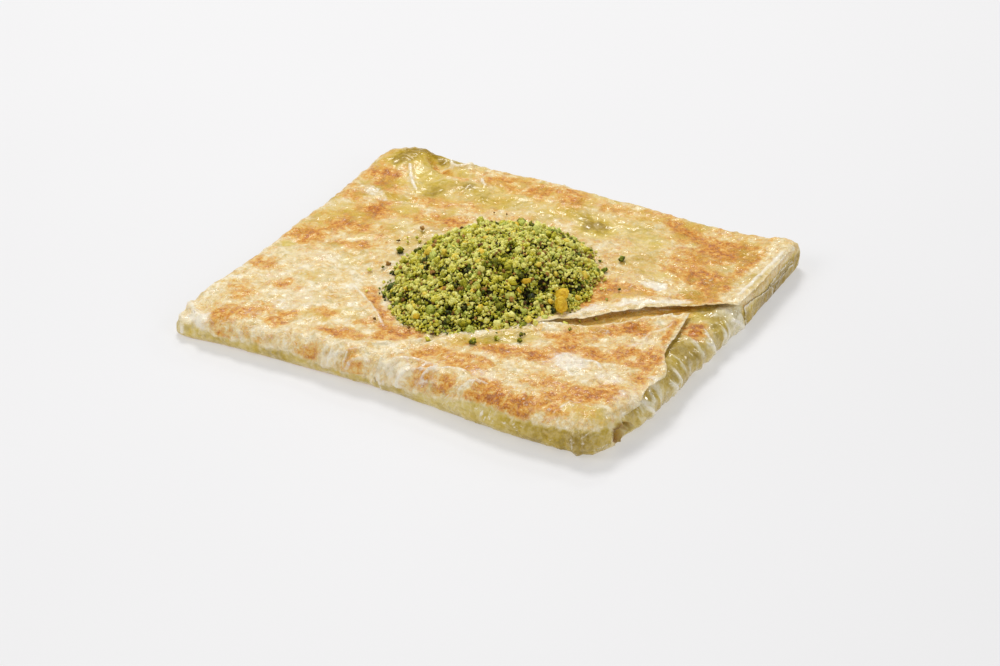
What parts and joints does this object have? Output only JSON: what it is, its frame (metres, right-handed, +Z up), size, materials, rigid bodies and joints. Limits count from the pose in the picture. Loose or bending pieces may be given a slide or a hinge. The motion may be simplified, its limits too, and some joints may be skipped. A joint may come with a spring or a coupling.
{
  "type": "katmer",
  "caption": "Flat square packet of thin folded dough, browned and oily, with a heap of crushed pistachio on top.",
  "frame": {"origin": "centre of the packet's flat underside, at the centre of its bounding box", "axes": "+X along the long front fold towards the open layered side, +Y to the back fold, +Z up"},
  "size_m": [0.21, 0.188, 0.0338],
  "materials": {
    "dough": "oily, translucent, browned in patches",
    "pistachio": "crushed, matt, slightly oily",
    "nut": "cut nut kernel, satin"
  },
  "bodies": {
    "root": {"folded_dough": "dough", "pistachio_heap": "pistachio", "nut_piece_long": "nut", "nut_piece_round": "nut"}
  },
  "joints": []
}
